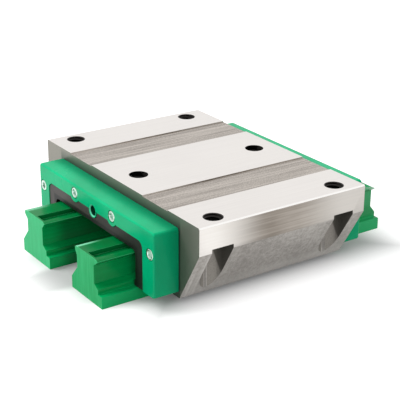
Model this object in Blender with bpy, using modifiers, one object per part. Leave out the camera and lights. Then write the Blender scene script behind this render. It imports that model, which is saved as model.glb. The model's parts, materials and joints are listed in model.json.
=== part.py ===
"""Flanged linear guide carriage with four recirculating ball rows, standing on two transport rails.

X runs across the carriage, Y along its travel (the front cap is at -Y) and Z up.
The origin is the centre of the mounting face, and everything hangs below it.
"""

import math

import bmesh
import bpy
from mathutils import Matrix

mm = 0.001

# Gaps
touch_gap = 0.3 * mm           # between pieces that sit against each other
ball_play = 0.3 * mm           # between a ball and the wall of its track
channel_play = 0.4 * mm        # between the rail foot and the carriage leg

# Transport rail: one leg, from its base up; both legs are alike, with a ledge only on their right
rail_width = 90.0 * mm         # over both legs
rail_length = 191.6 * mm
rail_overhang = 20.8 * mm      # beyond the front cap
foot_width = 32.2 * mm
foot_height = 7.0 * mm
foot_chamfer = 0.5 * mm
ledge_width = 3.7 * mm
band_height = 2.8 * mm         # of the upright band over the ledge
right_rise = 2.2 * mm          # of the slope from the band in to the waist
right_waist = 8.6 * mm         # from the middle of the leg
right_waist_height = 10.3 * mm
right_undercut = 3.0 * mm      # height of the slope under the head
left_rise = 7.4 * mm           # of the long slope from the foot in to the waist
left_waist = 9.6 * mm
left_undercut = 2.7 * mm
head_setback = 3.5 * mm        # of the head's side that faces the balls, from that of the foot
inner_setback = 1.2 * mm       # of the head's other side, beyond that
right_land = 0.4 * mm          # upright side of the head
left_land = 1.5 * mm
crown_rise = 1.0 * mm          # of the head's top over its upright sides
crown_slope = 2.2 * mm         # width of the slope on the head's right
shoulder_width = 3.6 * mm      # of the rounding on the head's left
slot_offset = 5.0 * mm         # middle of the top slot, from the middle of the leg
slot_width = 8.0 * mm
slot_depth = 2.7 * mm
slot_end_wall = 1.2 * mm
lead_length = 12.0 * mm        # of the slope on top of the rear end
lead_drop = 2.0 * mm

# Ball circuits
ball_diameter = 6.35 * mm
row_drop = 2.1 * mm            # of the upper row below the rail's top
row_spacing = 10.6 * mm
turn_radius = 6.0 * mm
contact_radius = 0.8 * mm      # of the flat where two neighbouring balls meet
retainer_thickness = 2.9 * mm
rail_play = 0.35 * mm          # between the long slope of the rail and what passes over it

# Carriage saddle
flange_reach = 17.85 * mm      # of the flange beyond the saddle's foot
body_length = 109.0 * mm
plate_thickness = 19.4 * mm    # over the rail channel
ceiling_room = 3.9 * mm        # between the rail crown and the saddle's ceiling
body_clearance = 4.2 * mm      # between the saddle's foot and the rail's base
side_height = 15.4 * mm        # of the upright side face
bore_wall = 2.7 * mm           # beside the return bore, at the foot
edge_chamfer = 0.7 * mm
leg_chamfer = 1.2 * mm
ceiling_fillet = 1.5 * mm
relief_middle = 39.65 * mm     # of each relief strip, from the middle of the top face
relief_width = 24.5 * mm
relief_depth = 0.6 * mm

# Fastening holes of the saddle
hole_inset = 9.0 * mm          # of the corner holes from the side face
hole_pitch_along = 80.0 * mm
thread_core = 8.5 * mm
thread_mouth = 10.8 * mm
pocket_width = 13.4 * mm       # room for a bolt head under each corner hole
flange_thickness = 13.2 * mm

# End cap
cap_top_step = 6.1 * mm        # below the mounting face
cap_bottom_step = 3.4 * mm     # above the foot of the saddle
cap_wall = 2.3 * mm            # beside the ball turns
turn_wall = 5.7 * mm           # in front of the ball turns
cap_corner = 2.0 * mm
cap_edge = 1.2 * mm            # rounding of the outer front edges
opening_fillet = 2.5 * mm

# Return guide
guide_radius = 5.0 * mm
guide_cheek = 1.0 * mm         # beyond its grooves

# Wiper seal
seal_reach = 1.8 * mm          # in from the carriage leg
seal_headroom = 1.3 * mm       # over the rail crown
seal_side_band = 7.6 * mm
seal_top_band = 7.1 * mm
seal_corner = 4.0 * mm
seal_thickness = 2.2 * mm
seal_sink = 0.4 * mm           # behind the cap's face
seal_lip = 1.0 * mm            # over the edge of the cap's opening
seal_toe = 1.1 * mm            # the band turns in beside the rail flare
seal_toe_height = 3.0 * mm

# Cap screws
inner_screw_pitch = 40.8 * mm
inner_screw_rise = 10.8 * mm   # above the seal's opening
inner_screw_wall = 2.2 * mm    # of the cap round the screw's head, where it dips into the seal
outer_screw_shift = 1.3 * mm   # outward of the return bore
outer_screw_rise = 3.0 * mm    # above the wall of the upper return bore
screw_head_diameter = 6.2 * mm
screw_head_height = 2.6 * mm
screw_head_bevel = 0.4 * mm
screw_shank_diameter = 3.4 * mm
screw_grip = 9.0 * mm          # length held in the saddle
screw_hole_spare = 2.0 * mm    # of the hole beyond the screw's tip
socket_width = 2.9 * mm        # across flats
socket_depth = 1.4 * mm

# Lubrication port
port_rise = 7.1 * mm           # above the seal's opening
port_diameter = 5.8 * mm
port_chamfer = 0.5 * mm
port_ring_wall = 0.9 * mm      # of the cap round the port, where it dips into the seal
plug_length = 5.0 * mm
plug_sink = 4.0 * mm           # behind the cap's face
plug_bevel = 0.5 * mm
groove_width = 2.0 * mm        # of the lubricant groove in the cap's back
groove_depth = 1.2 * mm

# Facets
curve_steps = 6
bore_steps = 16
hole_steps = 24
groove_steps = 8
turn_steps = 16
screw_steps = 12

# Places that follow from the sizes above
margin = 1.0 * mm              # by which a cutter runs past the surface it opens
rail_height = foot_height + band_height + right_rise + right_waist_height + right_undercut
rail_height += right_land + crown_rise
ceiling_z = -plate_thickness
crown_z = ceiling_z - ceiling_room
floor_z = crown_z - rail_height
body_bottom = floor_z + body_clearance
leg_middle = (rail_width - foot_width) / 2
head_width = foot_width - 2 * head_setback
leg_inside = rail_width / 2 + channel_play
track_radius = ball_diameter / 2 + ball_play
row_x = leg_middle + head_width / 2 + touch_gap + ball_diameter / 2
turn_x = row_x + turn_radius
return_x = row_x + 2 * turn_radius
base_half = return_x + track_radius + bore_wall
body_width = 2 * (base_half + flange_reach)
hole_pitch_across = body_width - 2 * hole_inset
rows = {"upper": crown_z - row_drop}
rows["lower"] = rows["upper"] - row_spacing
left_waist_bottom = floor_z + foot_height + left_rise
slope_fall = left_rise / (foot_width / 2 - left_waist)
sides = {"left": -1, "right": 1}
body_end = body_length / 2
cap_back = body_end + touch_gap
cap_front = body_end + turn_radius + track_radius + turn_wall
cap_half = return_x + track_radius + cap_wall
cap_top = -cap_top_step
cap_bottom = body_bottom + cap_bottom_step
seal_half = leg_inside - seal_reach
seal_z = crown_z + seal_headroom
port_z = seal_z + port_rise
guide_top = rows["upper"] + track_radius + guide_cheek
guide_bottom = rows["lower"] - track_radius - guide_cheek
inner_screw = (inner_screw_pitch / 2, seal_z + inner_screw_rise)
outer_screw = (return_x + outer_screw_shift, rows["upper"] + track_radius + outer_screw_rise)
screw_places = {
    "outer_left": (-outer_screw[0], outer_screw[1]),
    "inner_left": (-inner_screw[0], inner_screw[1]),
    "inner_right": inner_screw,
    "outer_right": outer_screw,
}

for old in list(bpy.data.objects):
    bpy.data.objects.remove(old, do_unlink=True)

pieces = bpy.data.collections.new("linear_guide_carriage")
cutters = bpy.data.collections.new("cutters")
bpy.context.scene.collection.children.link(pieces)
bpy.context.scene.collection.children.link(cutters)


def material(name, colour, roughness, metallic):
    """A plain finish for one sort of piece."""
    made = bpy.data.materials.new(name)
    made.use_nodes = True
    shader = made.node_tree.nodes["Principled BSDF"]
    shader.inputs["Base Color"].default_value = (*colour, 1.0)
    shader.inputs["Roughness"].default_value = roughness
    shader.inputs["Metallic"].default_value = metallic
    made.diffuse_color = (*colour, 1.0)
    return made


ground_steel = material("ground_steel", (0.62, 0.60, 0.58), 0.35, 1.0)
ball_steel = material("ball_steel", (0.75, 0.75, 0.76), 0.15, 1.0)
screw_steel = material("screw_steel", (0.66, 0.70, 0.68), 0.30, 1.0)
cap_plastic = material("cap_plastic", (0.03, 0.50, 0.27), 0.40, 0.0)
rail_plastic = material("rail_plastic", (0.02, 0.42, 0.13), 0.35, 0.0)
guide_plastic = material("guide_plastic", (0.30, 0.31, 0.30), 0.55, 0.0)
seal_rubber = material("seal_rubber", (0.045, 0.038, 0.036), 0.65, 0.0)


def arc(centre, radius, start, end, steps=curve_steps):
    """Points of an arc from one angle to another, in degrees."""
    angles = [math.radians(start + (end - start) * i / steps) for i in range(steps + 1)]
    return [(centre[0] + radius * math.cos(a), centre[1] + radius * math.sin(a)) for a in angles]


def circle(centre, radius, steps=bore_steps):
    """Points of a closed circle."""
    return arc(centre, radius, 0, 360, steps)[:-1]


def with_mirror(half):
    """A closed outline from its +X half, which runs from the top to the bottom."""
    return half + [(-x, y) for x, y in reversed(half)]


def link(name, data, home=pieces, finish=None):
    """A new object in a collection, with its finish."""
    made = bpy.data.objects.new(name, data)
    home.objects.link(made)
    if finish is not None:
        data.materials.append(finish)
    return made


def settled_mesh(source, name, finish=None):
    """The evaluated shape of an object as a mesh of its own, in the object's local space."""
    bpy.context.view_layer.update()
    graph = bpy.context.evaluated_depsgraph_get()
    mesh = bpy.data.meshes.new_from_object(source.evaluated_get(graph))
    mesh.name = name
    shape = bmesh.new()
    shape.from_mesh(mesh)
    bmesh.ops.remove_doubles(shape, verts=shape.verts, dist=1e-6)
    bmesh.ops.dissolve_limit(shape, angle_limit=math.radians(0.05), verts=shape.verts, edges=shape.edges)
    bmesh.ops.recalc_face_normals(shape, faces=shape.faces)
    shape.to_mesh(mesh)
    shape.free()
    if finish is not None:
        mesh.materials.clear()
        mesh.materials.append(finish)
    return mesh


def extruded(name, outlines, length, place, home, finish):
    """Flat outlines, drawn as a filled curve of the given thickness and made a mesh where they lie."""
    curve = bpy.data.curves.new(name + "_outline", "CURVE")
    curve.dimensions = "2D"
    curve.fill_mode = "BOTH"
    curve.extrude = length / 2
    for outline in outlines:
        spline = curve.splines.new("POLY")
        spline.points.add(len(outline) - 1)
        for point, (x, y) in zip(spline.points, outline):
            point.co = (x, y, 0, 1)
        spline.use_cyclic_u = True
    drawn = link(name + "_outline", curve, home)
    drawn.matrix_world = place
    made = link(name, settled_mesh(drawn, name, finish), home)
    made.matrix_world = place
    bpy.data.objects.remove(drawn, do_unlink=True)
    return made


def section_along_y(name, outlines, start, end, home=pieces, finish=None):
    """A cross-section in X and Z, extruded from one Y to another."""
    place = Matrix.Translation((0, (start + end) / 2, 0)) @ Matrix.Rotation(math.pi / 2, 4, "X")
    return extruded(name, outlines, abs(end - start), place, home, finish)


def plan_along_z(name, outlines, start, end, home=pieces, finish=None):
    """A plan in X and Y, extruded from one height to another."""
    place = Matrix.Translation((0, 0, (start + end) / 2))
    return extruded(name, outlines, abs(end - start), place, home, finish)


def turned(name, profile, steps, home=cutters, finish=None):
    """A solid of revolution about Z from (radius, height) points, top to bottom down the outer side."""
    mesh = bpy.data.meshes.new(name)
    edges = [(i, i + 1) for i in range(len(profile) - 1)]
    mesh.from_pydata([(radius, 0, height) for radius, height in profile], edges, [])
    made = link(name, mesh, home, finish)
    screw = made.modifiers.new("turn", "SCREW")
    screw.steps = steps
    screw.render_steps = steps
    screw.use_merge_vertices = True
    screw.merge_threshold = 0.00001
    return made


def facing_front(x, z):
    """The place of something made about Z, so that its top faces -Y at a spot on the front."""
    return Matrix.Translation((x, 0, z)) @ Matrix.Rotation(math.pi / 2, 4, "X")


def turned_round(place):
    """The same place at the other end of the carriage, half a turn about Z away."""
    return Matrix.Rotation(math.pi, 4, "Z") @ place


def cut(target, cutter):
    """Takes a closed cutter out of a piece."""
    cutter.hide_render = True
    cutter.display_type = "WIRE"
    boolean = target.modifiers.new("cut_" + cutter.name, "BOOLEAN")
    boolean.operation = "DIFFERENCE"
    boolean.solver = "EXACT"
    boolean.object = cutter


def smooth(piece, degrees=35):
    """Smooth shading, except over edges sharper than the angle."""
    piece.data.shade_smooth()
    piece.data.set_sharp_from_angle(angle=math.radians(degrees))


def leg_groove(z):
    """Raceway in the carriage leg, from its lower to its upper edge."""
    half_angle = math.degrees(math.acos((leg_inside - row_x) / track_radius))
    return arc((row_x, z), track_radius, -half_angle, half_angle, 2 * curve_steps)


def over_slope(x):
    """Lowest height at which a piece at a distance from the middle of the carriage clears the rail's slope."""
    rail_surface = left_waist_bottom - slope_fall * (x - leg_middle - left_waist)
    return rail_surface + rail_play * math.hypot(1, slope_fall)


def make_saddle():
    """The steel body: a section with raceways and return bores, then holes and bolt pockets."""
    half_width = body_width / 2
    right = [
        (relief_middle - relief_width / 2, 0),
        (relief_middle - relief_width / 2, -relief_depth),
        (relief_middle + relief_width / 2, -relief_depth),
        (relief_middle + relief_width / 2, 0),
        (half_width - edge_chamfer, 0),
        (half_width, -edge_chamfer),
        (half_width, -side_height),
        (base_half, body_bottom),
        (leg_inside + leg_chamfer, body_bottom),
        (leg_inside, body_bottom + leg_chamfer),
    ]
    right += leg_groove(rows["lower"])
    right += leg_groove(rows["upper"])
    right += arc((leg_inside - ceiling_fillet, ceiling_z - ceiling_fillet), ceiling_fillet, 0, 90, 3)
    bores = [circle((side * return_x, z), track_radius) for side in sides.values() for z in rows.values()]
    saddle = section_along_y(
        "saddle_body", [with_mirror(right)] + bores, -body_end, body_end, pieces, ground_steel
    )
    cut_fastening_holes(saddle)
    cut_bolt_pockets(saddle)
    cut_screw_holes(saddle)
    smooth(saddle)
    return saddle


def cut_fastening_holes(saddle):
    """Threaded holes with a chamfered mouth: two rows at the flanges and one in the middle."""
    core = thread_core / 2
    mouth = thread_mouth / 2
    for column in (-1, 0, 1):
        depth = plate_thickness if column == 0 else flange_thickness
        profile = [
            (0, margin),
            (mouth + margin, margin),
            (core, core - mouth),
            (core, -depth - margin),
            (0, -depth - margin),
        ]
        for end in (-1, 1):
            hole = turned(f"hole_{column + 1}_{end + 1}", profile, hole_steps)
            hole.location = (column * hole_pitch_across / 2, end * hole_pitch_along / 2, 0)
            cut(saddle, hole)


def cut_bolt_pockets(saddle):
    """Round-ended pockets, milled in from each flank up to the underside of the flange."""
    radius = pocket_width / 2
    outside = body_width / 2 + margin
    for side in sides.values():
        for end in (-1, 1):
            y = end * hole_pitch_along / 2
            plan = arc((hole_pitch_across / 2, y), radius, 90, 270, 2 * curve_steps)
            plan += [(outside, y - radius), (outside, y + radius)]
            plan = [(side * x, y) for x, y in plan]
            name = f"pocket_{side + 1}_{end + 1}"
            cut(saddle, plan_along_z(name, [plan], body_bottom - margin, -flange_thickness, cutters))


def cut_screw_holes(saddle):
    """Blind holes in both end faces for the cap screws."""
    inner = body_end - screw_grip - screw_hole_spare
    for label, (x, z) in screw_places.items():
        for end in (-1, 1):
            rim = circle((x, z), screw_shank_diameter / 2 + touch_gap, screw_steps)
            name = f"screw_hole_{label}_{end + 1}"
            cut(saddle, section_along_y(name, [rim], end * inner, end * (body_end + margin), cutters))


def lobe(x, z, radius, top):
    """Bottom arc of a round lobe, from where it crosses a level on its left, or its lowest point, to its right."""
    rise = math.degrees(math.asin(max(-1, min(1, (top - z) / radius))))
    start = -90 if x == 0 else -180 - rise
    return arc((x, z), radius, start, rise, 2 * curve_steps if x else curve_steps)


def seal_outline(grow):
    """The band round the rail opening, with bites for the cap's lobes; grow is the play round it."""
    half = seal_half + seal_side_band + grow
    top = seal_z + seal_top_band + grow
    port_lobe = port_diameter / 2 + port_chamfer + port_ring_wall - grow
    screw_lobe = screw_head_diameter / 2 + touch_gap + inner_screw_wall - grow
    inner = seal_half - grow
    bottom = cap_bottom - grow
    ceiling = seal_z - grow
    right = lobe(0, port_z, port_lobe, top)[1:]
    right += lobe(*inner_screw, screw_lobe, top)
    right += arc((half - seal_corner, top - seal_corner), seal_corner, 90, 0)
    right += [
        (half, bottom),
        (inner - seal_toe, bottom),
        (inner - seal_toe, cap_bottom + seal_toe_height),
        (inner, cap_bottom + seal_toe_height + seal_toe),
    ]
    right += arc((inner - opening_fillet, ceiling - opening_fillet), opening_fillet, 0, 90, 3)
    return with_mirror(right)


def make_seal(name, end):
    """Rubber wiper seal round the rail opening, with its left toe trimmed along the rail's slope."""
    face = end * (cap_front - seal_sink)
    back = end * (cap_front - seal_sink - seal_thickness)
    seal = section_along_y(name, [seal_outline(0)], face, back, pieces, seal_rubber)
    near = seal_half - seal_toe - margin
    far = seal_half + seal_lip + margin
    wedge = [(-near, over_slope(near)), (-far, over_slope(far)), (-far, floor_z), (-near, floor_z)]
    depth = cap_front + margin
    cut(seal, section_along_y(name + "_trim", [wedge], end * body_end, end * depth, cutters))
    smooth(seal)
    return seal


def make_cap():
    """Front end cap: a rounded block with the rail opening, seal recess, ball turns, screw seats and port."""
    opening = seal_half + seal_lip
    opening_z = seal_z + seal_lip
    right = arc((cap_half - cap_corner, cap_top - cap_corner), cap_corner, 90, 0, 4)
    right += [(cap_half, cap_bottom + edge_chamfer), (cap_half - edge_chamfer, cap_bottom), (opening, cap_bottom)]
    right += arc((opening - opening_fillet, opening_z - opening_fillet), opening_fillet, 0, 90, 3)
    cap = section_along_y("end_cap_front", [with_mirror(right)], -cap_front, -cap_back, pieces, cap_plastic)
    round_front_edges(cap, opening)
    recess_floor = -(cap_front - seal_sink - seal_thickness - touch_gap)
    cut(cap, section_along_y("seal_recess", [seal_outline(touch_gap)], -cap_front - margin, recess_floor, cutters))
    for label, side in sides.items():
        cut(cap, turn_room(f"turn_room_{label}", side * turn_x))
    for label, (x, z) in screw_places.items():
        cut(cap, screw_seat(f"screw_seat_{label}", x, z))
    cut(cap, lubrication_port())
    cut(cap, lubricant_groove())
    smooth(cap)
    return cap


def round_front_edges(cap, opening):
    """Rounds the outer front edges of a cap, but not those round its rail opening."""
    shape = bmesh.new()
    shape.from_mesh(cap.data)
    place = cap.matrix_world
    near = 0.01 * mm
    rim = []
    for edge in shape.edges:
        ends = [place @ corner.co for corner in edge.verts]
        on_front = all(abs(end.y + cap_front) < near for end in ends)
        outside = all(abs(end.x) > opening + near or end.z > cap_top - near for end in ends)
        if on_front and outside and edge.calc_face_angle() > math.radians(60):
            rim.append(edge)
    bmesh.ops.bevel(shape, geom=rim, offset=cap_edge, segments=3, profile=0.5, affect="EDGES")
    shape.to_mesh(cap.data)
    shape.free()


def turn_room(name, x):
    """Seat of a return guide with the outer half of both ball turns round it."""
    seat = guide_radius + touch_gap
    meet = math.degrees(math.acos((seat - turn_radius) / track_radius))
    profile = [(0, guide_top + touch_gap), (seat, guide_top + touch_gap)]
    for z in rows.values():
        profile += arc((turn_radius, z), track_radius, meet, -meet, groove_steps)
    profile += [(seat, guide_bottom - touch_gap), (0, guide_bottom - touch_gap)]
    room = turned(name, profile, turn_steps)
    room.location = (x, -body_end, 0)
    return room


def screw_seat(name, x, z):
    """Counterbore and clearance hole for a cap screw."""
    head = screw_head_diameter / 2 + touch_gap
    shank = screw_shank_diameter / 2 + touch_gap
    seat = cap_front - screw_head_height - touch_gap
    profile = [
        (0, cap_front + margin),
        (head, cap_front + margin),
        (head, seat),
        (shank, seat),
        (shank, cap_back - margin),
        (0, cap_back - margin),
    ]
    made = turned(name, profile, screw_steps)
    made.matrix_world = facing_front(x, z)
    return made


def lubrication_port():
    """Chamfered bore through the middle of the cap."""
    bore = port_diameter / 2
    profile = [
        (0, cap_front + margin),
        (bore + port_chamfer + margin, cap_front + margin),
        (bore, cap_front - port_chamfer),
        (bore, cap_back - margin),
        (0, cap_back - margin),
    ]
    made = turned("lubrication_port", profile, bore_steps)
    made.matrix_world = facing_front(0, port_z)
    return made


def lubricant_groove():
    """Shallow groove in the cap's back, from the port out and down to both return guides."""
    half = groove_width / 2
    right = [
        (turn_x + half, port_z + half),
        (turn_x + half, guide_top),
        (turn_x - half, guide_top),
        (turn_x - half, port_z - half),
    ]
    start = -(cap_back + groove_depth)
    return section_along_y("lubricant_groove", [with_mirror(right)], start, -(cap_back - margin), cutters)


def make_guide_mesh():
    """Return guide: half a spool with a groove for each row, to sit in the cap against the saddle."""
    profile = [(0, guide_top), (guide_radius, guide_top)]
    meet = math.degrees(math.acos((guide_radius - turn_radius) / track_radius))
    for z in rows.values():
        profile += arc((turn_radius, z), track_radius, meet, 360 - meet)
    profile += [(guide_radius, guide_bottom), (0, guide_bottom)]
    spool = turned("return_guide", profile, bore_steps, cutters, guide_plastic)
    reach = 2 * guide_radius
    rear_half = [(-reach, -touch_gap), (reach, -touch_gap), (reach, reach), (-reach, reach)]
    trim = plan_along_z("return_guide_trim", [rear_half], guide_bottom - margin, guide_top + margin, cutters)
    cut(spool, trim)
    mesh = settled_mesh(spool, "return_guide", guide_plastic)
    for used in (spool, trim):
        bpy.data.objects.remove(used, do_unlink=True)
    return mesh


def socket(name, face):
    """Hexagon socket sunk into a face."""
    rim = circle((0, 0), socket_width / math.sqrt(3), 6)
    return plan_along_z(name, [rim], face - socket_depth, face + margin, cutters)


def make_socket_screw_mesh(name, profile):
    """A turned screw or plug with a hexagon socket in its top face."""
    body = turned(name, profile, screw_steps)
    hexagon = socket(name + "_socket", profile[0][1])
    cut(body, hexagon)
    mesh = settled_mesh(body, name, screw_steel)
    for used in (body, hexagon):
        bpy.data.objects.remove(used, do_unlink=True)
    return mesh


def cap_screw_profile():
    """Cap screw, from its head in the cap's face to its tip in the saddle."""
    head = screw_head_diameter / 2
    shank = screw_shank_diameter / 2
    tip = body_end - screw_grip
    return [
        (0, cap_front),
        (head - screw_head_bevel, cap_front),
        (head, cap_front - screw_head_bevel),
        (head, cap_front - screw_head_height),
        (shank, cap_front - screw_head_height),
        (shank, tip + screw_head_bevel),
        (shank - screw_head_bevel, tip),
        (0, tip),
    ]


def plug_profile():
    """Grub screw that closes the lubrication port."""
    radius = port_diameter / 2 - touch_gap
    high = cap_front - plug_sink
    low = high - plug_length
    return [
        (0, high),
        (radius - plug_bevel, high),
        (radius, high - plug_bevel),
        (radius, low + plug_bevel),
        (radius - plug_bevel, low),
        (0, low),
    ]


def place_at_both_ends(front_name, rear_name, mesh, place):
    """Two objects of one mesh: one at the front and its turned copy at the rear."""
    for name, where in ((front_name, place), (rear_name, turned_round(place))):
        made = link(name, mesh)
        made.matrix_world = where
        smooth(made)


def make_ends():
    """Everything that sits at the two ends of the saddle."""
    front_cap = make_cap()
    rear_cap = link("end_cap_rear", settled_mesh(front_cap, "end_cap_rear"))
    rear_cap.matrix_world = turned_round(front_cap.matrix_world)
    smooth(rear_cap)
    make_seal("wiper_seal_front", -1)
    make_seal("wiper_seal_rear", 1)
    opposite = {"left": "right", "right": "left"}
    guide = make_guide_mesh()
    for label, side in sides.items():
        place = Matrix.Translation((side * turn_x, -body_end, 0))
        names = (f"return_guide_front_{label}", f"return_guide_rear_{opposite[label]}")
        place_at_both_ends(*names, guide, place)
    screw = make_socket_screw_mesh("cap_screw", cap_screw_profile())
    for label, (x, z) in screw_places.items():
        row, side = label.split("_")
        names = (f"cap_screw_front_{label}", f"cap_screw_rear_{row}_{opposite[side]}")
        place_at_both_ends(*names, screw, facing_front(x, z))
    plug = make_socket_screw_mesh("lube_plug", plug_profile())
    place_at_both_ends("lube_plug_front", "lube_plug_rear", plug, facing_front(0, port_z))


def strip_side(z, angle_sign):
    """A retainer's face towards a ball row, from the rail side to the leg side."""
    face = leg_inside - touch_gap
    inner = math.degrees(math.acos((face - retainer_thickness - row_x) / track_radius))
    outer = math.degrees(math.acos((face - row_x) / track_radius))
    return arc((row_x, z), track_radius, angle_sign * inner, angle_sign * outer)


def make_retainers(label, side):
    """Plastic strips along the load rows: one above, one between and one below."""
    face = leg_inside - touch_gap
    inside = face - retainer_thickness
    top = ceiling_z - touch_gap
    corner = ceiling_fillet - touch_gap
    upper = [(inside, top)] + strip_side(rows["upper"], 1)
    upper += arc((face - corner, top - corner), corner, 0, 90, 3)
    centre = strip_side(rows["upper"], -1) + list(reversed(strip_side(rows["lower"], 1)))
    lower = [(inside, over_slope(inside))] + strip_side(rows["lower"], -1) + [(face, over_slope(face))]
    for name, outline in (("upper", upper), ("centre", centre), ("lower", lower)):
        outline = [(side * x, z) for x, z in outline]
        strip = section_along_y(
            f"retainer_{name}_{label}", [outline], -body_end, body_end, pieces, guide_plastic
        )
        smooth(strip)


def circuit_point(distance):
    """A point on the closed ball path, from the front end of the load row; X is measured from that row."""
    bend = math.pi * turn_radius
    if distance < body_length:
        return 0, distance - body_end
    distance -= body_length
    if distance < bend:
        angle = distance / turn_radius
        return turn_radius * (1 - math.cos(angle)), body_end + turn_radius * math.sin(angle)
    distance -= bend
    if distance < body_length:
        return 2 * turn_radius, body_end - distance
    angle = (distance - body_length) / turn_radius
    return turn_radius * (1 + math.cos(angle)), -body_end - turn_radius * math.sin(angle)


def make_ball_circuit(name, side, z):
    """A full circuit of balls, drawn as a closed curve that swells at each ball and narrows where two meet."""
    path = 2 * (body_length + math.pi * turn_radius)
    ball_radius = ball_diameter / 2
    count = int(path / ball_diameter)
    pitch = path / count
    belt = 0.35 * ball_radius
    belt_radius = math.sqrt(ball_radius ** 2 - belt ** 2)
    profile = [(0, contact_radius), (pitch / 2 - belt, belt_radius), (pitch / 2 + belt, belt_radius)]
    rings = [(number * pitch + along, radius) for number in range(count) for along, radius in profile]
    curve = bpy.data.curves.new(name, "CURVE")
    curve.dimensions = "3D"
    curve.bevel_depth = ball_radius
    curve.bevel_resolution = 1
    spline = curve.splines.new("POLY")
    spline.points.add(len(rings) - 1)
    for point, (along, radius) in zip(spline.points, rings):
        x, y = circuit_point(along)
        point.co = (side * x, y, 0, 1)
        point.radius = radius / ball_radius
    spline.use_cyclic_u = True
    balls = link(name, curve, pieces, ball_steel)
    balls.location = (side * row_x, 0, z)


def make_rail(name, side):
    """Transport rail leg: foot, waist and crowned head, with a slot along the top."""
    outer = head_width / 2
    inner = outer - inner_setback
    right_head, left_head = (outer, inner) if side > 0 else (inner, outer)
    foot_half = foot_width / 2
    band = foot_half - ledge_width
    left_land_bottom = rail_height - crown_rise - left_land
    waist_top = rail_height - crown_rise - right_land - right_undercut
    waist_bottom = waist_top - right_waist_height
    right = [
        (right_head - crown_slope, rail_height),
        (right_head, rail_height - crown_rise),
        (right_head, rail_height - crown_rise - right_land),
        (right_waist, waist_top),
        (right_waist, waist_bottom),
        (band, waist_bottom - right_rise),
        (band, foot_height),
        (foot_half - foot_chamfer, foot_height),
        (foot_half, foot_height - foot_chamfer),
        (foot_half, 0),
    ]
    left = [
        (left_head - shoulder_width, rail_height),
        (left_head - 0.45 * shoulder_width, rail_height - 0.15 * crown_rise),
        (left_head - 0.15 * shoulder_width, rail_height - 0.5 * crown_rise),
        (left_head, rail_height - crown_rise),
        (left_head, left_land_bottom),
        (left_waist, left_land_bottom - left_undercut),
        (left_waist, foot_height + left_rise),
        (foot_half, foot_height),
        (foot_half, 0),
    ]
    middle = side * leg_middle
    outline = [(middle + x, floor_z + height) for x, height in right]
    outline += [(middle - x, floor_z + height) for x, height in reversed(left)]
    start = -(cap_front + rail_overhang)
    end = start + rail_length
    rail = section_along_y(name, [outline], start, end, pieces, rail_plastic)
    left = middle + slot_offset - slot_width / 2
    right_side = left + slot_width
    low = crown_z - slot_depth
    high = crown_z + margin
    slot = [(left, low), (right_side, low), (right_side, high), (left, high)]
    cut(rail, section_along_y(name + "_slot", [slot], start + slot_end_wall, end - slot_end_wall, cutters))
    cut(rail, rail_lead(name + "_lead", middle, end))
    smooth(rail)
    return rail


def rail_lead(name, middle, end):
    """Wedge that slopes the top of a rail down towards its rear end."""
    fall = lead_drop / lead_length
    side_view = [
        (end - lead_length, crown_z),
        (end + margin, crown_z - lead_drop - margin * fall),
        (end + margin, crown_z + margin),
        (end - lead_length, crown_z + margin),
    ]
    place = Matrix.Translation((middle, 0, 0)) @ Matrix(((0, 0, 1, 0), (1, 0, 0, 0), (0, 1, 0, 0), (0, 0, 0, 1)))
    return extruded(name, [side_view], foot_width, place, cutters, None)


def hang_on_empty(name, location, children):
    """Parents pieces to an empty without moving them."""
    holder = bpy.data.objects.new(name, None)
    holder.empty_display_size = 20 * mm
    pieces.objects.link(holder)
    holder.location = location
    bpy.context.view_layer.update()
    for child in children:
        child.parent = holder
        child.matrix_parent_inverse = holder.matrix_world.inverted()


make_saddle()
make_ends()
for label, side in sides.items():
    make_retainers(label, side)
    for row, z in rows.items():
        make_ball_circuit(f"balls_{row}_{label}", side, z)
hang_on_empty("carriage_frame", (0, 0, 0), list(pieces.objects))
for label, side in sides.items():
    rail = make_rail(f"transport_rail_{label}", side)
    hang_on_empty(f"rail_slide_{label}", (side * leg_middle, 0, floor_z), [rail])
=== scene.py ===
"""Looks for the flanged linear guide carriage and its two transport rails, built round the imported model.

Everything is in metres: X runs across the carriage, Y along its travel, Z up from the mounting face.
"""

import json
import math

import bpy
from mathutils import Matrix, Vector


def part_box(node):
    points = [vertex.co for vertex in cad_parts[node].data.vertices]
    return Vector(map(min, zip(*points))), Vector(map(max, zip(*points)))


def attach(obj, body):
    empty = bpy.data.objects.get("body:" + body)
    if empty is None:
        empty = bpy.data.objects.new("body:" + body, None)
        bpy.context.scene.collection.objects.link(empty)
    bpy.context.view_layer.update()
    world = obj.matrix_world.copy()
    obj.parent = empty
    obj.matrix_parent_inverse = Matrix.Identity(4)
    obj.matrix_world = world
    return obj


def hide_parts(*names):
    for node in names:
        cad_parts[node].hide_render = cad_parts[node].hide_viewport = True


mm = 0.001

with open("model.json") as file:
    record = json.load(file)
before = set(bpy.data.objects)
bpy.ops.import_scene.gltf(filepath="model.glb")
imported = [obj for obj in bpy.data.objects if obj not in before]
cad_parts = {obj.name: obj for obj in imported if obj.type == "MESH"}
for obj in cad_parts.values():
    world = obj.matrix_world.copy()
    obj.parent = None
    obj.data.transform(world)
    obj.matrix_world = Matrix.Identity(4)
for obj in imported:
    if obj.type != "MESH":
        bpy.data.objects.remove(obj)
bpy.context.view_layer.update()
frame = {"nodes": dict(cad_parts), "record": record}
cad = frame["nodes"]
subparts = frame["record"]["subparts"]
fasteners = [row["node"] for row in subparts if row["node"].startswith(("cap_screw", "lube_plug"))]

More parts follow.
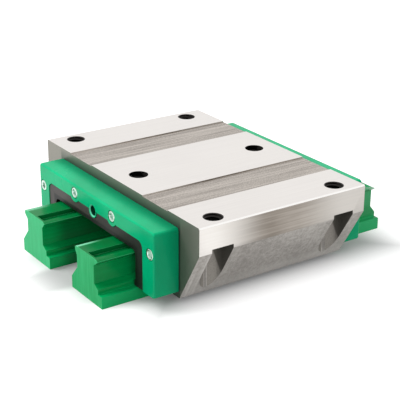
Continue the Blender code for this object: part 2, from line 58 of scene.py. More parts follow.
# Faces of the solids
floor_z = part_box("transport_rail_right")[0].z
crown_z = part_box("transport_rail_right")[1].z
body_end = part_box("saddle_body")[1].y
cap_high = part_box("end_cap_rear")[1]
cap_front = cap_high.y
leg_middle = 28.9 * mm
seal_half = 43.6 * mm
seal_ceiling = -22.0 * mm
side_height = 15.4 * mm

# Bolt holes, their threads and the pockets under the corner holes
hole_x = 72.0 * mm
hole_y = 40.0 * mm
hole_mouth = 5.42 * mm
hole_spare = 0.9 * mm          # of the bore beyond the end of the thread
corner_depth = 13.0 * mm
middle_depth = 19.0 * mm
thread_radius = 5.0 * mm
thread_crest = 4.25 * mm
thread_pitch = 1.5 * mm
thread_start = 1.0 * mm        # below the mounting face
pocket_roof = 13.0 * mm        # below the mounting face
pocket_half = 7.2 * mm
pocket_inside = 64.5 * mm
pocket_outside = 80.9 * mm

# Screw seats and lubrication ports of the end caps
seat_radius = 3.42 * mm
seat_mouth = 3.43 * mm
seat_depth = 2.6 * mm
port_z = -14.9 * mm
port_radius = 2.95 * mm
port_mouth = 3.45 * mm
port_depth = 9.1 * mm

# Ball circuits
ball_radius = 3.175 * mm
turn_radius = 6.0 * mm

# Rounded edges
saddle_edge = 0.25 * mm
cap_edge = 0.3 * mm
rail_edge = 0.6 * mm
edge_steps = 3
sharp_angle = 35

# Camera
azimuth = math.radians(55.459)
elevation = math.radians(22.082)
roll = math.radians(0.414)
distance = 647.72 * mm
aim_right = 1.18 * mm
aim_up = -22.37 * mm
lens_mm = 101.85


def place_camera():
    """Puts the camera at the photograph's viewpoint."""
    back = Vector((
        math.sin(azimuth) * math.cos(elevation),
        -math.cos(azimuth) * math.cos(elevation),
        math.sin(elevation),
    ))
    right = Vector((math.cos(azimuth), math.sin(azimuth), 0))
    up = back.cross(right)
    target = right * aim_right + up * aim_up
    across = right * math.cos(roll) + up * math.sin(roll)
    upward = up * math.cos(roll) - right * math.sin(roll)
    turn = Matrix((across, upward, back)).transposed().to_4x4()
    data = bpy.data.cameras.new("camera")
    data.lens = lens_mm
    data.sensor_width = 36
    data.clip_start = 0.01
    camera = bpy.data.objects.new("camera", data)
    bpy.context.scene.collection.objects.link(camera)
    camera.matrix_world = Matrix.Translation(target + back * distance) @ turn
    bpy.context.scene.camera = camera


def tone(red, green, blue):
    """A display colour, 0 to 255, as a linear one."""
    shares = (red / 255, green / 255, blue / 255)
    linear = [c / 12.92 if c <= 0.04045 else ((c + 0.055) / 1.055) ** 2.4 for c in shares]
    return (*linear, 1.0)


class Signal:
    """A value on its way through a material; arithmetic on it adds Math nodes."""

    def __init__(self, finish, socket):
        self.finish = finish
        self.socket = socket

    def maths(self, operation, first, second):
        return self.finish.node("ShaderNodeMath", {"operation": operation}, {0: first, 1: second})

    def __add__(self, other):
        return self.maths("ADD", self, other)

    __radd__ = __add__

    def __sub__(self, other):
        return self.maths("SUBTRACT", self, other)

    def __rsub__(self, other):
        return self.maths("SUBTRACT", other, self)

    def __mul__(self, other):
        return self.maths("MULTIPLY", self, other)

    __rmul__ = __mul__

    def __neg__(self):
        return self.maths("MULTIPLY", self, -1.0)

    def __abs__(self):
        return self.maths("ABSOLUTE", self, 0.0)

    def __gt__(self, other):
        return self.maths("GREATER_THAN", self, other)

    def __lt__(self, other):
        return self.maths("LESS_THAN", self, other)

    def or_more(self, other):
        return self.maths("MAXIMUM", self, other)

    def or_less(self, other):
        return self.maths("MINIMUM", self, other)

    def root(self):
        return self.maths("SQRT", self, 0.0)

    def ramp(self, low, high):
        """0 at low, 1 at high, smooth between."""
        values = {"Value": self, "From Min": low, "From Max": high}
        return self.finish.node("ShaderNodeMapRange", {"interpolation_type": "SMOOTHSTEP"}, values)

    def parts(self):
        """The three parts of a vector."""
        split = self.finish.node("ShaderNodeSeparateXYZ", {}, {0: self}).socket.node
        return [Signal(self.finish, socket) for socket in split.outputs]


class Finish:
    """A material and the nodes that vary it over a surface, in the object's own coordinates."""

    def __init__(self, name, **constants):
        self.material = bpy.data.materials.new(name)
        self.material.use_nodes = True
        self.tree = self.material.node_tree
        self.shader = self.tree.nodes["Principled BSDF"]
        for key, value in constants.items():
            self.shader.inputs[key.replace("_", " ").title().replace("Ior", "IOR")].default_value = value
        self.coordinates = self.node("ShaderNodeTexCoord", output="Object")
        self.x, self.y, self.z = self.coordinates.parts()
        normal = self.node("ShaderNodeTexCoord", output="Normal")
        self.nx, self.ny, self.nz = normal.parts()

    def node(self, kind, settings=None, values=None, output=0):
        """A node with its settings, its sockets' values or links, and the output that is used."""
        made = self.tree.nodes.new(kind)
        for key, value in (settings or {}).items():
            setattr(made, key, value)
        for key, value in (values or {}).items():
            if isinstance(value, Signal):
                self.tree.links.new(value.socket, made.inputs[key])
            else:
                made.inputs[key].default_value = value
        return Signal(self, made.outputs[output])

    def noise(self, scale, stretch=(1, 1, 1), detail=3.0, shift=(0, 0, 0)):
        """Fine variation round 0.5; stretch below 1 draws it out along that axis."""
        values = {"Vector": self.coordinates, "Scale": stretch, "Location": shift}
        place = self.node("ShaderNodeMapping", {}, values)
        return self.node("ShaderNodeTexNoise", {}, {"Vector": place, "Scale": scale, "Detail": detail})

    def mix(self, share, first, second):
        """A colour between two colours."""
        return self.node("ShaderNodeMix", {"data_type": "RGBA"}, {0: share, 6: first, 7: second}, 2)

    def bump(self, height, strength, depth=0.02 * mm):
        """A surface normal from a height."""
        values = {"Strength": strength, "Distance": depth, "Height": height}
        return self.node("ShaderNodeBump", {}, values)

    def feed(self, **signals):
        """Links signals to the shader's sockets."""
        for key, signal in signals.items():
            self.tree.links.new(signal.socket, self.shader.inputs[key.replace("_", " ").title()])
        return self.material


def near_hole(finish):
    """Distance from the axis of the nearest bolt hole."""
    across = abs(finish.x).or_less(abs(abs(finish.x) - hole_x))
    along = abs(abs(finish.y) - hole_y)
    return (across * across + along * along).root()


def ground_steel():
    """Saddle: ground faces, milled relief strips, rough flanks, painted shade in pockets, holes and
    underneath, painted reflection on sides, flanks and ends, painted highlights on the top edges.
    """
    steel = Finish("ground_steel", metallic=1.0)
    grain = steel.noise(900, (1, 0.02, 1), 4.0)
    cloud = steel.noise(28, detail=4.0, shift=(0.3, 0.1, 0))
    speck = steel.noise(420, detail=2.0)
    pits = steel.noise(1500, detail=2.0, shift=(0.7, 0, 0.2))
    streak = steel.noise(420, (0.03, 1, 0.03))
    level = abs(steel.nz)
    below = -steel.z
    strip = below.ramp(0.25 * mm, 0.45 * mm) * (steel.nz > 0.7)
    flank = (-steel.nz).ramp(0.15, 0.3) * (0.7 - level).ramp(0.0, 0.1) * (below > side_height - 0.1 * mm)
    side = abs(steel.nx).ramp(0.75, 0.95) * (below < side_height + 0.2 * mm)
    end = abs(steel.ny).ramp(0.75, 0.95)

    # Top face and its relief strips
    ground = steel.mix(grain * 0.6 + cloud * 0.4, tone(226, 221, 217), tone(243, 239, 235))
    lines = (grain * 0.5 + pits * 0.5).ramp(0.34, 0.66)
    milled = steel.mix(lines, tone(146, 138, 130), tone(210, 202, 194))
    colour = steel.mix(strip, ground, milled)

    # Side faces, with painted reflection paler toward the front and painted shade darkest in the middle of
    # their length
    middle = 1 - abs(steel.y + 2 * mm).ramp(6 * mm, 46 * mm)
    sides = steel.mix(steel.y.ramp(-50 * mm, 55 * mm), tone(224, 221, 217), tone(186, 182, 177))
    sides = steel.mix(middle, sides, tone(122, 114, 105))
    sides = steel.mix((cloud * 0.5 + grain * 0.5).ramp(0.3, 0.8) * 0.5, sides, tone(204, 197, 189))
    colour = steel.mix(side, colour, sides)

    # Rough flanks, streaked paler toward the front, with painted reflection that makes them paler toward the
    # foot
    coarse = (cloud * 0.4 + speck * 0.3 + pits * 0.3).ramp(0.3, 0.7)
    flanks = steel.mix(coarse, tone(130, 126, 121), tone(178, 174, 169))
    front = (-steel.y).ramp(25 * mm, 52 * mm)
    low = below.ramp(36 * mm, 45 * mm)
    flanks = steel.mix(streak.ramp(0.5, 0.8) * (0.12 + front * 0.4), flanks, tone(206, 203, 198))
    flanks = steel.mix(low * 0.35, flanks, tone(214, 211, 206))
    colour = steel.mix(flank, colour, flanks)

    # Ends, with painted reflection darker toward +X, and painted green reflection and shade where the caps
    # sit
    ends = steel.mix((steel.x * 9).ramp(-0.6, 0.75), tone(138, 135, 126), tone(112, 112, 104))
    ends = steel.mix(cloud.ramp(0.3, 0.7) * 0.25, ends, tone(128, 126, 116))
    painted_joint_shade = (1 - (steel.z - cap_high.z).ramp(-1 * mm, 7 * mm)) * (abs(steel.x) < cap_high.x + 1 * mm)
    ends = steel.mix(painted_joint_shade * 0.7, ends, tone(32, 58, 46))
    colour = steel.mix(end, colour, ends)

    # Bolt pockets, with painted shade on the roof and on one wall
    boxed = abs(abs(steel.y) - hole_y) < pocket_half
    boxed = boxed * (abs(steel.x) > pocket_inside) * (abs(steel.x) < pocket_outside)
    pocket = boxed * (below > pocket_roof - 0.1 * mm) * (1 - flank)
    depth = (below - pocket_roof).ramp(0.0, 26 * mm)
    turned = (-steel.ny - 0.46 - depth * 0.6).ramp(-0.06, 0.03)
    roof = (1 - below.ramp(pocket_roof + 2 * mm, pocket_roof + 6 * mm)) * (-steel.ny).ramp(0.2, 0.6)
    walls = steel.mix(turned.or_more(roof), tone(136, 132, 126), tone(84, 82, 76))
    walls = steel.mix(pits.ramp(0.4, 0.8) * 0.4, walls, tone(96, 92, 88))
    colour = steel.mix(pocket, colour, walls)

    # Bolt holes, with painted shade that darkens toward the bottom
    reach = near_hole(steel)
    hole = (reach < 6.2 * mm) * ((below > 0.04 * mm).or_more(steel.nz < 0.97))
    inside = steel.mix(below.ramp(0.4 * mm, 4.0 * mm), tone(58, 55, 53), tone(26, 25, 24))
    colour = steel.mix(hole, colour, inside)

    # Painted shade on faces that look down, and painted highlights on the edges of the top
    under = (-steel.nz).ramp(0.62, 0.75)
    colour = steel.mix(under, colour, tone(70, 68, 63))
    painted_edge_highlight = steel.nz.ramp(0.4, 0.6) * (1 - steel.nz.ramp(0.8, 0.95))
    painted_edge_highlight = painted_edge_highlight * (steel.z > -2 * mm) * (reach > 7 * mm)
    colour = steel.mix(painted_edge_highlight, colour, tone(252, 250, 247))

    rough = 0.3 + strip * 0.14 + flank * 0.2 + pocket * 0.25 + end * 0.1 + (cloud - 0.5) * 0.1
    normal = steel.bump(grain * 0.4 + speck * 0.2 + pits * 0.4, 0.3)
    return steel.feed(base_color=colour, metallic=1 - end * 0.45, roughness=rough, normal=normal)


def guide_finish():
    """Return guides and retainers: grey moulded plastic with a slight cloudiness and a fine skin."""
    plastic = Finish("guide_plastic", specular_ior_level=0.4)
    cloud = plastic.noise(30)
    flow = plastic.noise(160, (1, 0.15, 1))
    skin = plastic.noise(1400, detail=2.0)
    share = (cloud * 0.7 + flow * 0.3).ramp(0.3, 0.7)
    colour = plastic.mix(share, tone(118, 120, 118), tone(140, 142, 140))
    rough = 0.5 + (cloud - 0.5) * 0.12 + (flow - 0.5) * 0.1
    return plastic.feed(base_color=colour, roughness=rough, normal=plastic.bump(skin * 0.7 + flow * 0.3, 0.4))


def cap_finish():
    """End caps: moulded plastic with painted shade toward the saddle, on the sides and on the front toward
    +X, and a port with painted shade inside and a painted highlight on its rim.
    """
    plastic = Finish("cap_plastic", specular_ior_level=0.1)
    cloud = plastic.noise(30)
    skin = plastic.noise(1400, detail=2.0)
    colour = plastic.mix((cloud * 0.8 + skin * 0.2).ramp(0.3, 0.7), tone(0, 172, 116), tone(6, 190, 131))

    # Painted shade toward the saddle, on the sides and on the front toward +X
    beyond = abs(plastic.y) - body_end
    painted_joint_shade = (1 - beyond.ramp(0.0, 10.5 * mm)) * plastic.nz.ramp(0.5, 0.9)
    side = abs(plastic.nx).ramp(0.5, 0.9) * (0.5 + 0.5 * (1 - beyond.ramp(0.0, 9 * mm)))
    colour = plastic.mix((painted_joint_shade * 0.56).or_more(side * 0.5), colour, tone(0, 88, 58))
    painted_front_shade = abs(plastic.ny).ramp(0.7, 0.9) * plastic.x.ramp(10 * mm, 62 * mm)
    colour = plastic.mix(painted_front_shade * 0.2, colour, tone(0, 90, 60))

    # Painted shade inside the lubrication port and a painted highlight on its rim
    rise = plastic.z - port_z
    reach = (plastic.x * plastic.x + rise * rise).root()
    forward = abs(plastic.y)
    port_shade = (reach < 3.3 * mm) * (forward < cap_front - 0.35 * mm) * (forward > cap_front - 12 * mm)
    rim = (reach < 3.5 * mm) * (forward > cap_front - 0.6 * mm)
    colour = plastic.mix(port_shade, colour, tone(6, 70, 50))
    colour = plastic.mix(rim, colour, tone(96, 206, 166))
    rough = 0.26 + (cloud - 0.5) * 0.12
    return plastic.feed(base_color=colour, roughness=rough, normal=plastic.bump(skin, 0.25))


def rail_finish():
    """Transport rails: drawn sides and saw-cut ends, with painted light and shade: a shaded top, lit ends and
    foot, shade in the slot and near the caps, highlights on the head and a paler rear end.
    """
    plastic = Finish("rail_plastic", specular_ior_level=0.14)
    cloud = plastic.noise(30)
    drawn = plastic.noise(700, (1, 0.01, 1))
    saw = plastic.noise(900, (1, 1, 0.06))
    cut = abs(plastic.ny).ramp(0.8, 0.98)
    left = plastic.x < 0.0
    above_foot = plastic.z - floor_z
    near_crown = plastic.z > crown_z - 4 * mm

    # Sides, with painted shade on the top and painted light on the saw-cut ends, more on the left rail
    top = plastic.nz.ramp(0.5, 0.9) * (plastic.z - crown_z + 6 * mm > 0.0)
    share = (cloud * 0.6 + drawn * 0.4).ramp(0.3, 0.7)
    colour = plastic.mix(share, tone(0, 138, 70), tone(0, 158, 84))
    colour = plastic.mix(top, colour, plastic.mix(share, tone(0, 112, 54), tone(0, 128, 64)))
    sawn_and_lit_ends = plastic.mix((cloud * 0.4 + saw * 0.6).ramp(0.3, 0.7), tone(24, 158, 90), tone(48, 178, 112))
    sawn_and_lit_ends = plastic.mix(left * 0.3, sawn_and_lit_ends, tone(92, 216, 156))
    colour = plastic.mix(cut, colour, sawn_and_lit_ends)

    # Painted light on the foot, more on the right rail, and painted shade on the sides of the slot and near
    # the caps, more on the left rail
    foot = 1 - above_foot.ramp(6.4 * mm, 8.4 * mm)
    colour = plastic.mix(foot * (1 - cut) * (0.8 - left * 0.45), colour, tone(10, 184, 108))
    riser = abs(plastic.nx).ramp(0.7, 0.9) * near_crown
    smear_and_shade = (abs(plastic.y) - 70 * mm).ramp(16 * mm, 4 * mm) * abs(plastic.nx).ramp(0.3, 0.8)
    colour = plastic.mix((riser * 0.55).or_more(smear_and_shade * (0.12 + left * 0.53)), colour, tone(0, 72, 34))

    # Painted highlights on the edges of the head and on the front of its left shoulder, and painted light
    # that makes the rear end paler and duller
    head_edge_highlight = plastic.nz.ramp(0.25, 0.45) * (1 - plastic.nz.ramp(0.72, 0.86))
    head_edge_highlight = head_edge_highlight * (plastic.z > crown_z - 5 * mm)
    colour = plastic.mix(head_edge_highlight * 0.7, colour, tone(92, 214, 148))
    across = plastic.x - leg_middle + left * (2 * leg_middle)
    shoulder = (1 - across.ramp(-9.2 * mm, -7.4 * mm)) * plastic.nz.ramp(0.5, 0.8) * near_crown
    gleam = shoulder * (-plastic.y).ramp(74 * mm, 86 * mm)
    colour = plastic.mix(gleam * (0.85 - left * 0.35), colour, tone(150, 246, 198))
    painted_light_gradient = plastic.y.ramp(74 * mm, 84 * mm) * (1 - cut)
    upper = above_foot.ramp(8 * mm, 16 * mm)
    colour = plastic.mix(painted_light_gradient * (0.1 + upper * 0.12), colour, tone(132, 212, 170))

    height = drawn * (1 - cut) * 0.2 + saw * cut
    rough = 0.22 + cut * 0.27 + (cloud - 0.5) * 0.06
    return plastic.feed(base_color=colour, roughness=rough, normal=plastic.bump(height, 0.15))


def rubber():
    """Wiper seal: dark rubber, with painted reflection that darkens it toward +X and painted shade on the lip
    round the opening.
    """
    seal = Finish("seal_rubber", specular_ior_level=0.35)
    cloud = seal.noise(60, detail=4.0)
    skin = seal.noise(1100)
    # Painted shade on the lip round the opening, and painted reflection that darkens the rubber toward +X
    outward = (abs(seal.x) - seal_half).ramp(1.8 * mm, 2.9 * mm)
    upward = (seal.z - seal_ceiling).ramp(1.8 * mm, 2.9 * mm)
    lip = 1 - outward.or_more(upward)
    painted_light_gradient = (seal.x * 10).ramp(-0.4, 0.5)
    colour = seal.mix(cloud, tone(52, 48, 46), tone(74, 69, 67))
    colour = seal.mix(painted_light_gradient, colour, seal.mix(cloud, tone(20, 20, 19), tone(34, 34, 32)))
    colour = seal.mix(lip, colour, tone(14, 14, 13))
    normal = seal.bump(skin, 0.4, 0.03 * mm)
    return seal.feed(base_color=colour, roughness=0.4 + skin * 0.2, normal=normal)


def polished(name, dark, light, roughness):
    """A bright metal with faint smears."""
    metal = Finish(name, metallic=1.0)
    smear_and_shade = metal.noise(200)
    colour = metal.mix(smear_and_shade, dark, light)
    return metal.feed(base_color=colour, roughness=roughness + smear_and_shade * 0.1)


materials = {
    "ground_steel": ground_steel(),
    "ball_steel": polished("ball_steel", tone(205, 206, 208), tone(228, 229, 230), 0.08),
    "screw_steel": polished("screw_steel", tone(190, 214, 202), tone(222, 240, 231), 0.22),
    "cap_plastic": cap_finish(),
    "rail_plastic": rail_finish(),
    "guide_plastic": guide_finish(),
    "seal_rubber": rubber(),
}


def deselect():
    bpy.ops.object.select_all(action="DESELECT")


def pick(piece):
    """Makes a piece the only one selected, and active."""
    deselect()
    piece.select_set(True)
    bpy.context.view_layer.objects.active = piece


def edit_all(piece):
    """Opens a piece for editing with its whole mesh selected."""
    pick(piece)
    bpy.ops.object.mode_set(mode="EDIT")
    bpy.ops.mesh.select_all(action="SELECT")


def leave_edit():
    bpy.ops.object.mode_set(mode="OBJECT")


def smoothed(piece, sharp):
    """Shades a piece smooth across its roundings, and its flat faces flat."""
    pick(piece)
    bpy.ops.object.shade_smooth_by_angle(angle=math.radians(sharp))
    even = piece.modifiers.new("even", "WEIGHTED_NORMAL")
    even.keep_sharp = True
    bpy.ops.object.modifier_apply(modifier=even.name)


def finished(piece, body, slot, sharp=sharp_angle):
    """Gives a piece its material, smooth shading and body."""
    pick(piece)
    bpy.ops.object.transform_apply(location=True, rotation=True, scale=True)
    piece.data.materials.clear()
    piece.data.materials.append(materials[slot])
    smoothed(piece, sharp)
    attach(piece, body)


def rounded(piece, width):
    """Rounds the sharp edges of a piece."""
    pick(piece)
    bevel = piece.modifiers.new("rounding", "BEVEL")
    bevel.width = width
    bevel.segments = edge_steps
    bevel.limit_method = "ANGLE"
    bevel.angle_limit = math.radians(sharp_angle)
    bevel.use_clamp_overlap = True
    bpy.ops.object.modifier_apply(modifier=bevel.name)


def merged(piece):
    """Joins a piece's loose triangles."""
    edit_all(piece)
    bpy.ops.mesh.remove_doubles(threshold=0.002 * mm)
    leave_edit()


def levelled(piece):
    """Makes one face of those that lie in one plane."""
    edit_all(piece)
    bpy.ops.mesh.dissolve_limited(angle_limit=math.radians(0.2))
    leave_edit()


def finer_copy(node, body, slot, width, bores=None):
    """A copy of a CAD node with round bores and rounded edges, which stands for it."""
    piece = bpy.data.objects.new(node + "_finish", cad[node].data.copy())
    bpy.context.scene.collection.objects.link(piece)
    merged(piece)
    if bores:
        bores(piece)
        merged(piece)
    levelled(piece)
    rounded(piece, width)
    finished(piece, body, slot)
    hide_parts(node)


def cut_away(piece, tool):
    """Takes a tool's shape out of a piece."""
    pick(piece)
    boolean = piece.modifiers.new("cut", "BOOLEAN")
    boolean.operation = "DIFFERENCE"
    boolean.solver = "EXACT"
    boolean.object = tool
    bpy.ops.object.modifier_apply(modifier=boolean.name)
    bpy.data.objects.remove(tool, do_unlink=True)


def choose(piece, mode, wanted):
    """Selects the vertices, edges or faces of the piece in edit mode that pass a test."""
    bpy.ops.mesh.select_mode(type=mode)
    bpy.ops.mesh.select_all(action="DESELECT")
    bpy.ops.object.mode_set(mode="OBJECT")
    parts = {"VERT": piece.data.vertices, "EDGE": piece.data.edges, "FACE": piece.data.polygons}[mode]
    for part in parts:
        part.select = bool(wanted(part))
    bpy.ops.object.mode_set(mode="EDIT")


def bore(piece, place, radius, depth, mouth):
    """Cuts a round bore with a chamfered mouth into the face that a matrix turns to Z = 0."""
    above = 1 * mm
    for low, high, bottom in ((radius, radius, -depth), (radius, mouth + above, radius - mouth)):
        deselect()
        middle = (above + bottom) / 2
        bpy.ops.mesh.primitive_cone_add(
            vertices=64, radius1=low, radius2=high, depth=above - bottom, location=(0, 0, middle)
        )
        tool = bpy.context.object
        bpy.ops.object.transform_apply(location=True, rotation=False, scale=False)
        tool.matrix_world = place
        cut_away(piece, tool)


def bore_holes(saddle):
    """Bolt holes, wide enough for the threads that are set into them."""
    for x in (-hole_x, 0.0, hole_x):
        for y in (-hole_y, hole_y):
            depth = corner_depth if x else middle_depth
            place = Matrix.Translation((x, y, 0))
            bore(saddle, place, thread_radius, depth + hole_spare, hole_mouth)


def bore_seats(cap):
    """Round screw seats and lubrication port of an end cap."""
    end = "front" if cap.name.startswith("end_cap_front") else "rear"
    for node in fasteners:
        if end in node:
            place = end_place(node)
            if node.startswith("cap_screw"):
                bore(cap, place, seat_radius, seat_depth, seat_mouth)
            else:
                place.translation.y = math.copysign(cap_front, place.translation.y)
                bore(cap, place, port_radius, port_depth, port_mouth)


def thread_rib(top, bottom):
    """A thread's rib on the wall of a bore round the Z axis, run out at both ends."""
    steps = 24                     # to a turn
    fade = 10                      # steps over which an end runs out
    base = thread_radius + 0.06 * mm
    height = base - thread_crest
    turns = int((top - bottom) / thread_pitch)

    # The rib's section, open at its ends
    deselect()
    bpy.ops.mesh.primitive_plane_add(size=1, location=(0, 0, 0), rotation=(math.radians(90), 0, 0))
    rib = bpy.context.object
    rib.name = "thread"
    bpy.ops.object.transform_apply(location=False, rotation=True, scale=True)
    edit_all(rib)
    bpy.ops.transform.resize(value=(height, 1, 0.92 * thread_pitch), center_override=(0, 0, 0))
    bpy.ops.transform.translate(value=(base - height / 2, 0, 0))
    choose(rib, "VERT", lambda v: v.co.x < base - height / 2)
    bpy.ops.transform.resize(value=(1, 1, 0.16), center_override=(0, 0, 0))
    bpy.ops.mesh.select_mode(type="FACE")
    bpy.ops.mesh.select_all(action="SELECT")
    bpy.ops.mesh.delete(type="ONLY_FACE")
    leave_edit()

    # Wound up and closed
    screw = rib.modifiers.new("thread", "SCREW")
    screw.axis = "Z"
    screw.steps = steps
    screw.render_steps = steps
    screw.iterations = turns
    screw.screw_offset = thread_pitch
    screw.use_merge_vertices = False
    bpy.ops.object.modifier_apply(modifier=screw.name)
    edit_all(rib)
    bpy.ops.mesh.remove_doubles(threshold=0.001 * mm)
    bpy.ops.mesh.fill_holes(sides=4)
    bpy.ops.mesh.select_all(action="SELECT")
    bpy.ops.mesh.normals_make_consistent(inside=False)

    # The crest sinks into the wall toward both ends
    for number in range(fade):
        share = 1 - number / fade
        angle = math.tau * number / steps
        for turned, level in ((angle, number / steps), (-angle, turns - number / steps)):
            height_here = level * thread_pitch
            direction = Vector((math.cos(turned), math.sin(turned)))

            def on_crest(v):
                flat = v.co.xy
                near = abs(v.co.z - height_here) < 0.3 * thread_pitch
                return near and flat.length < base - 0.1 * mm and flat.normalized().dot(direction) > 0.999

            choose(rib, "VERT", on_crest)
            grow = 1 + (base / thread_crest - 1) * share
            bpy.ops.transform.resize(value=(grow, grow, 1), center_override=(0, 0, height_here))
    bpy.ops.mesh.select_all(action="SELECT")
    bpy.ops.transform.translate(value=(0, 0, bottom))
    leave_edit()
    return rib


def copied(piece, name, place):
    """A copy of a piece with a mesh of its own, moved and turned by a matrix."""
    copy = bpy.data.objects.new(name, piece.data.copy())
    bpy.context.scene.collection.objects.link(copy)
    copy.matrix_world = place
    return copy


def make_threads():
    """Threads in the six bolt holes."""
    rows = (("corner", (-hole_x, hole_x), corner_depth), ("middle", (0.0,), middle_depth))
    for label, columns, depth in rows:
        rib = thread_rib(-thread_start, -depth)
        for x in columns:
            for y in (-hole_y, hole_y):
                name = f"{label}_thread_{'rear' if y > 0 else 'front'}"
                name += {-hole_x: "_left", hole_x: "_right"}.get(x, "")
                thread = copied(rib, name, Matrix.Translation((x, y, 0)))
                finished(thread, "carriage", "ground_steel")
        bpy.data.objects.remove(rib, do_unlink=True)


def turned_head(name, radius, height, edge, socket, depth, shank=0, length=0):
    """A socket screw, or a plug without a shank, that faces up, its face on Z = 0."""
    tip = 0.4 * mm
    deselect()
    bpy.ops.mesh.primitive_cylinder_add(
        vertices=48, radius=radius, depth=height, location=(0, 0, -height / 2)
    )
    screw = bpy.context.object
    screw.name = name
    bpy.ops.object.transform_apply(location=True, rotation=False, scale=False)
    edit_all(screw)
    choose(screw, "EDGE", lambda e: all(screw.data.vertices[v].co.z > -0.1 * height for v in e.vertices))
    bpy.ops.mesh.bevel(offset=edge, segments=edge_steps, affect="EDGES")
    choose(screw, "FACE", lambda f: f.normal.z < -0.9)
    if shank:
        bpy.ops.mesh.inset(thickness=radius - shank)
        bpy.ops.mesh.extrude_region_move(TRANSFORM_OT_translate={"value": (0, 0, height - length + tip)})
        bpy.ops.mesh.extrude_region_move(TRANSFORM_OT_translate={"value": (0, 0, -tip)})
        bpy.ops.transform.resize(value=(0.76, 0.76, 1), center_override=(0, 0, -length))
    else:
        bpy.ops.mesh.extrude_region_move(TRANSFORM_OT_translate={"value": (0, 0, -edge)})
        bpy.ops.transform.resize(value=(0.85, 0.85, 1), center_override=(0, 0, -height - edge))
    leave_edit()

    # Hexagon socket with a countersunk mouth
    corner = socket / math.sqrt(3)
    deselect()
    bpy.ops.mesh.primitive_cylinder_add(vertices=6, radius=corner, depth=2 * depth, location=(0, 0, 0))
    cut_away(screw, bpy.context.object)
    deselect()
    bpy.ops.mesh.primitive_cone_add(
        vertices=48, radius1=corner * 0.72, radius2=corner * 1.3, depth=1.0 * mm, location=(0, 0, -0.2 * mm)
    )
    cut_away(screw, bpy.context.object)
    return screw


def end_place(node):
    """The matrix that turns Z out of the end of the carriage, at the middle of a node's outer face."""
    low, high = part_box(node)
    front = "front" in node
    turn = Matrix.Rotation(math.radians(90 if front else -90), 4, "X")
    middle = ((low.x + high.x) / 2, low.y if front else high.y, (low.z + high.z) / 2)
    return Matrix.Translation(middle) @ turn


def make_fasteners():
    """Socket screws of the end caps and the plugs in the lubrication ports."""
    screw = turned_head(
        "screw", radius=3.1 * mm, height=2.6 * mm, edge=0.45 * mm,
        socket=3.3 * mm, depth=1.5 * mm, shank=1.7 * mm, length=24.2 * mm,
    )
    plug = turned_head(
        "plug", radius=2.6 * mm, height=4.5 * mm, edge=0.5 * mm, socket=2.9 * mm, depth=1.6 * mm,
    )
    for node in fasteners:
        source = screw if node.startswith("cap_screw") else plug
        piece = copied(source, node + "_finish", end_place(node))
        finished(piece, "carriage", "screw_steel", 30)
        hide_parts(node)
    bpy.data.objects.remove(screw, do_unlink=True)
    bpy.data.objects.remove(plug, do_unlink=True)


def ball_place(along):
    """A point on the closed ball path; X is measured outward from its middle line."""
    bend = math.pi * turn_radius
    length = 2 * body_end
    if along < length:
        return -turn_radius, along - body_end
    along -= length
    if along < bend:
        angle = along / turn_radius
        return -turn_radius * math.cos(angle), body_end + turn_radius * math.sin(angle)
    along -= bend
    if along < length:
        return turn_radius, body_end - along
    angle = (along - length) / turn_radius
    return turn_radius * math.cos(angle), -body_end - turn_radius * math.sin(angle)


def make_balls():
    """Round balls for the four circuits, as many as clear each other in the turns."""
    path = 2 * (2 * body_end + math.pi * turn_radius)
    count = int(path / (2 * turn_radius * math.asin(ball_radius / turn_radius)))
    for side, label in ((-1, "left"), (1, "right")):
        for row in ("upper", "lower"):
            node = f"balls_{row}_{label}"
            low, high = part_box(node)
            z = (low.z + high.z) / 2
            middle = (low.x + high.x) / 2
            deselect()
            bpy.ops.mesh.primitive_ico_sphere_add(subdivisions=2, radius=ball_radius, location=(0, 0, 0))
            ball = bpy.context.object
            copies = []
            for number in range(count):
                x, y = ball_place((number + 0.5) * path / count)
                copies.append(copied(ball, "ball", Matrix.Translation((middle + side * x, y, z))))
            bpy.data.objects.remove(ball, do_unlink=True)
            deselect()
            for copy in copies:
                copy.select_set(True)
            bpy.context.view_layer.objects.active = copies[0]
            bpy.ops.object.join()
            chain = bpy.context.object
            chain.name = f"ball_row_{row}_{label}"
            finished(chain, "carriage", "ball_steel", 60)
            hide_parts(node)


def make_floor():
    """Pale floor that keeps the soft shadow."""
    shadow_side = 52 * mm          # where the shadow starts to fade, from the middle of the carriage
    shadow_front = 88 * mm
    shadow_rear = 76 * mm
    shadow_fade = 32 * mm
    bpy.ops.mesh.primitive_plane_add(size=6, location=(0, 0, floor_z))
    floor = bpy.context.object
    floor.name = "floor"
    surface = Finish("floor", base_color=(0.5, 0.5, 0.5, 1), roughness=0.9, specular_ior_level=0.0)
    rays = surface.node("ShaderNodeLightPath").socket.node
    seen = Signal(surface, rays.outputs["Is Camera Ray"]) + Signal(surface, rays.outputs["Is Glossy Ray"])
    seen = seen + Signal(surface, rays.outputs["Is Transmission Ray"])

    # In front the shadow ends earlier before the rails, and earliest at the carriage's corners
    outward = abs(surface.x)
    at_rails = outward.ramp(9 * mm, 17 * mm) * (10 * mm)
    at_corners = outward.ramp(30 * mm, 56 * mm) * (24 * mm)
    ahead = -surface.y - shadow_front + at_rails + at_corners
    beside = (outward - shadow_side).or_more(ahead).or_more(surface.y - shadow_rear).ramp(0.0, shadow_fade)
    away = (surface.x * surface.x + surface.y * surface.y).root().ramp(0.3, 1.0)
    shine = 0.08 + beside * 0.7 + away * 0.14
    glow = surface.node("ShaderNodeEmission", {}, {"Color": (1, 1, 1, 1), "Strength": seen * shine})
    both = surface.node("ShaderNodeAddShader", {}, {0: Signal(surface, surface.shader.outputs[0]), 1: glow})
    surface.tree.links.new(both.socket, surface.tree.nodes["Material Output"].inputs["Surface"])
    floor.data.materials.append(surface.material)


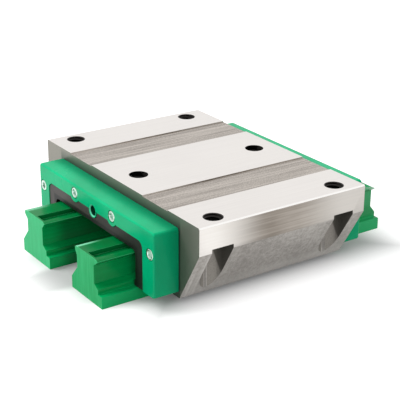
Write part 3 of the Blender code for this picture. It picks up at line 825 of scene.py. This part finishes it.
def make_light():
    """A plain bright room and four soft lamps, which light the object and don't show in its metal."""
    world = bpy.data.worlds.new("room")
    bpy.context.scene.world = world
    world.use_nodes = True
    tree = world.node_tree
    background = tree.nodes["Background"]
    background.inputs["Color"].default_value = (1, 1, 1, 1)
    rays = tree.nodes.new("ShaderNodeLightPath")
    strength = tree.nodes.new("ShaderNodeMapRange")
    strength.inputs["To Min"].default_value = 0.44
    strength.inputs["To Max"].default_value = 1.0
    seen = tree.nodes.new("ShaderNodeMath")
    seen.operation = "MAXIMUM"
    tree.links.new(rays.outputs["Is Camera Ray"], seen.inputs[0])
    tree.links.new(rays.outputs["Is Glossy Ray"], seen.inputs[1])
    tree.links.new(seen.outputs[0], strength.inputs["Value"])
    tree.links.new(strength.outputs[0], background.inputs["Strength"])
    lamps = (
        ("key_lamp", (-0.55, -0.65, 0.75), 0.7, 11.5),
        ("fill_lamp", (0.5, -0.9, 0.6), 0.7, 2.0),
        ("rear_lamp", (0.6, 0.6, 0.4), 0.4, 1.6),
        ("side_lamp", (0.9, -0.2, 0.22), 0.4, 1.0),
    )
    for name, place, size, power in lamps:
        data = bpy.data.lights.new(name, "AREA")
        data.shape = "SQUARE"
        data.size = size
        data.energy = power
        lamp = bpy.data.objects.new(name, data)
        bpy.context.scene.collection.objects.link(lamp)
        lamp.location = place
        lamp.visible_glossy = False
        lamp.rotation_euler = (-Vector(place)).to_track_quat("-Z", "Y").to_euler()


place_camera()
finer_copy("saddle_body", "carriage", "ground_steel", saddle_edge, bore_holes)
make_threads()
make_fasteners()
finer_copy("end_cap_front", "carriage", "cap_plastic", cap_edge, bore_seats)
finer_copy("end_cap_rear", "carriage", "cap_plastic", cap_edge, bore_seats)
finer_copy("wiper_seal_front", "carriage", "seal_rubber", cap_edge)
finer_copy("wiper_seal_rear", "carriage", "seal_rubber", cap_edge)
finer_copy("transport_rail_left", "left_rail", "rail_plastic", rail_edge)
finer_copy("transport_rail_right", "right_rail", "rail_plastic", rail_edge)
make_balls()
for row in subparts:
    node = cad[row["node"]]
    node.data.materials.clear()
    node.data.materials.append(materials[row["material_slot"]])
make_floor()
make_light()
bpy.context.scene.view_settings.view_transform = "Standard"
